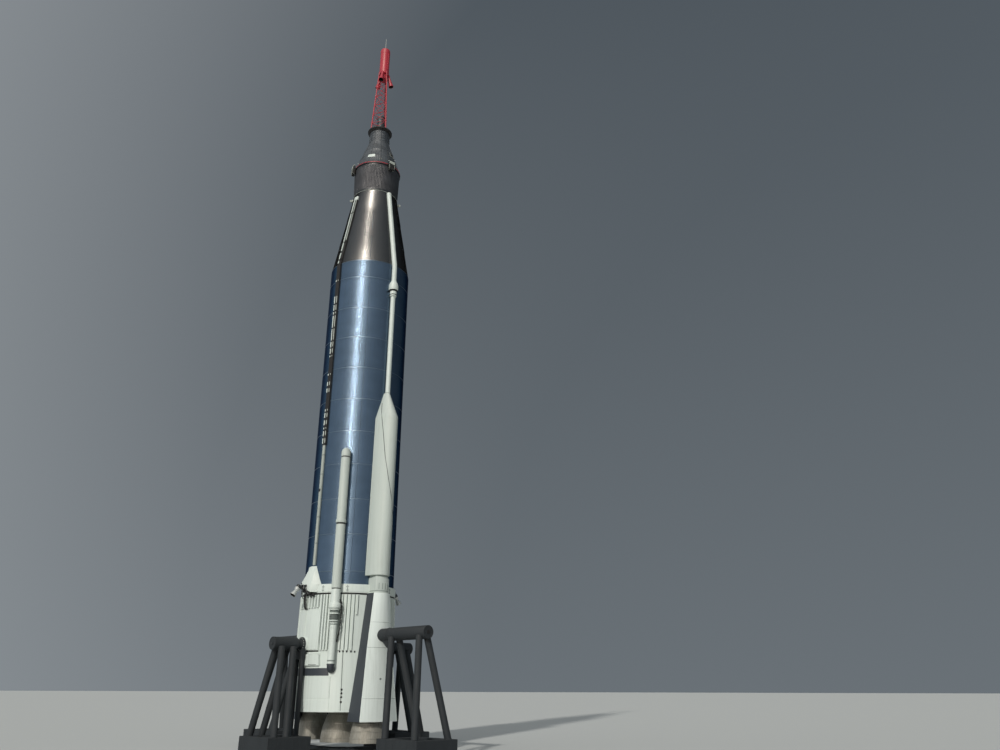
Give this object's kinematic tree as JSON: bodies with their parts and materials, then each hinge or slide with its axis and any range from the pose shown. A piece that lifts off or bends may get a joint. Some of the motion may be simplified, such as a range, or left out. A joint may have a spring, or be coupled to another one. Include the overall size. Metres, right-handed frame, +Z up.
{
  "type": "stage-and-a-half liquid-propellant space rocket with a crew capsule and escape tower, on display stands",
  "caption": "Tall steel rocket with a crew capsule, lattice escape tower, flared engine skirt with side nacelles and gimballed engines, standing on tubular display stands.",
  "frame": {"origin": "on the ground at the rocket's axis, at the centre of the underside of the stand's base frame", "axes": "+Z up along the rocket's axis; +X from the axis through booster engine A and its nacelle; -Y through vernier engine A and its side stand"},
  "size_m": [9.92, 6.16, 29.5],
  "materials": {
    "tank_steel": "polished thin stainless steel sheet with welded hoops, blue grey under the sky",
    "nose_steel": "dull stainless and alloy steel",
    "adapter_grey": "corrugated sheet, dark grey",
    "capsule_grey": "oxidised corrugated shingles, near black grey",
    "white_paint": "semi-gloss off-white paint, slightly weathered",
    "red_paint": "semi-gloss red paint",
    "black_paint": "matt black paint",
    "silver": "bare sheet with a dull sheen",
    "engine_metal": "brazed tube wall, warm grey",
    "stand_paint": "dark blue-grey paint on steel tube"
  },
  "bodies": {
    "airframe": {"tank_barrel": "tank_steel", "tank_nose_cone": "nose_steel", "capsule_adapter": "adapter_grey", "clamp_ring": "red_paint", "crew_capsule": "capsule_grey", "tower_ring": "black_paint", "antenna_canister": "silver", "escape_tower": "red_paint", "escape_nozzles": "red_paint", "escape_motor": "red_paint", "escape_spike": "silver", "booster_skirt": "white_paint", "skirt_top_ring": "white_paint", "nacelle_a": "white_paint", "nacelle_b": "white_paint", "equipment_pod_a": "white_paint", "pod_collar_a": "white_paint", "equipment_pod_b": "white_paint", "pod_collar_b": "white_paint", "conduit_nose": "white_paint", "conduit_housing": "white_paint", "conduit_tank": "white_paint", "raceway_tank": "white_paint", "raceway_nose": "white_paint", "lox_line": "white_paint", "lox_valve": "white_paint", "lox_bellows": "white_paint", "lox_lower_pipe": "white_paint", "thrust_frame": "nose_steel", "vernier_fairing_a": "white_paint", "vernier_mount_a": "nose_steel", "vernier_fairing_b": "white_paint", "vernier_mount_b": "nose_steel", "stand_boss_side_a": "white_paint", "stand_beam_side_a": "stand_paint", "stand_legs_side_a": "stand_paint", "stand_boss_side_b": "white_paint", "stand_beam_side_b": "stand_paint", "stand_legs_side_b": "stand_paint", "stand_boss_nacelle_a": "stand_paint", "stand_beam_nacelle_a": "stand_paint", "stand_legs_nacelle_a": "stand_paint", "stand_boss_nacelle_b": "stand_paint", "stand_beam_nacelle_b": "stand_paint", "stand_legs_nacelle_b": "stand_paint", "base_frame": "stand_paint"},
    "booster_a_cross": {"booster_a_gimbal": "nose_steel"},
    "booster_a": {"booster_a_engine": "engine_metal"},
    "booster_b_cross": {"booster_b_gimbal": "nose_steel"},
    "booster_b": {"booster_b_engine": "engine_metal"},
    "sustainer_cross": {"sustainer_gimbal": "nose_steel"},
    "sustainer": {"sustainer_engine": "engine_metal"},
    "vernier_a": {"vernier_engine_a": "engine_metal"},
    "vernier_b": {"vernier_engine_b": "engine_metal"}
  },
  "joints": [
    {"name": "booster_a_pitch", "type": "hinge", "parent": "airframe", "child": "booster_a_cross", "pos_m": [1.56, 0, 2.48], "axis": [1, 0, 0], "range_deg": [-5, 5]},
    {"name": "booster_a_yaw", "type": "hinge", "parent": "booster_a_cross", "child": "booster_a", "pos_m": [1.56, 0, 2.48], "axis": [0, 1, 0], "range_deg": [-5, 5]},
    {"name": "booster_b_pitch", "type": "hinge", "parent": "airframe", "child": "booster_b_cross", "pos_m": [-1.56, 0, 2.48], "axis": [1, 0, 0], "range_deg": [-5, 5]},
    {"name": "booster_b_yaw", "type": "hinge", "parent": "booster_b_cross", "child": "booster_b", "pos_m": [-1.56, 0, 2.48], "axis": [0, 1, 0], "range_deg": [-5, 5]},
    {"name": "sustainer_pitch", "type": "hinge", "parent": "airframe", "child": "sustainer_cross", "pos_m": [0, 0, 2.48], "axis": [1, 0, 0], "range_deg": [-3, 3]},
    {"name": "sustainer_yaw", "type": "hinge", "parent": "sustainer_cross", "child": "sustainer", "pos_m": [0, 0, 2.48], "axis": [0, 1, 0], "range_deg": [-3, 3]},
    {"name": "vernier_a_swivel", "type": "hinge", "parent": "airframe", "child": "vernier_a", "pos_m": [0, -1.99, 5.05], "axis": [0, -1, 0], "range_deg": [-70, 70]},
    {"name": "vernier_b_swivel", "type": "hinge", "parent": "airframe", "child": "vernier_b", "pos_m": [0, 1.99, 5.05], "axis": [0, 1, 0], "range_deg": [-70, 70]}
  ]
}
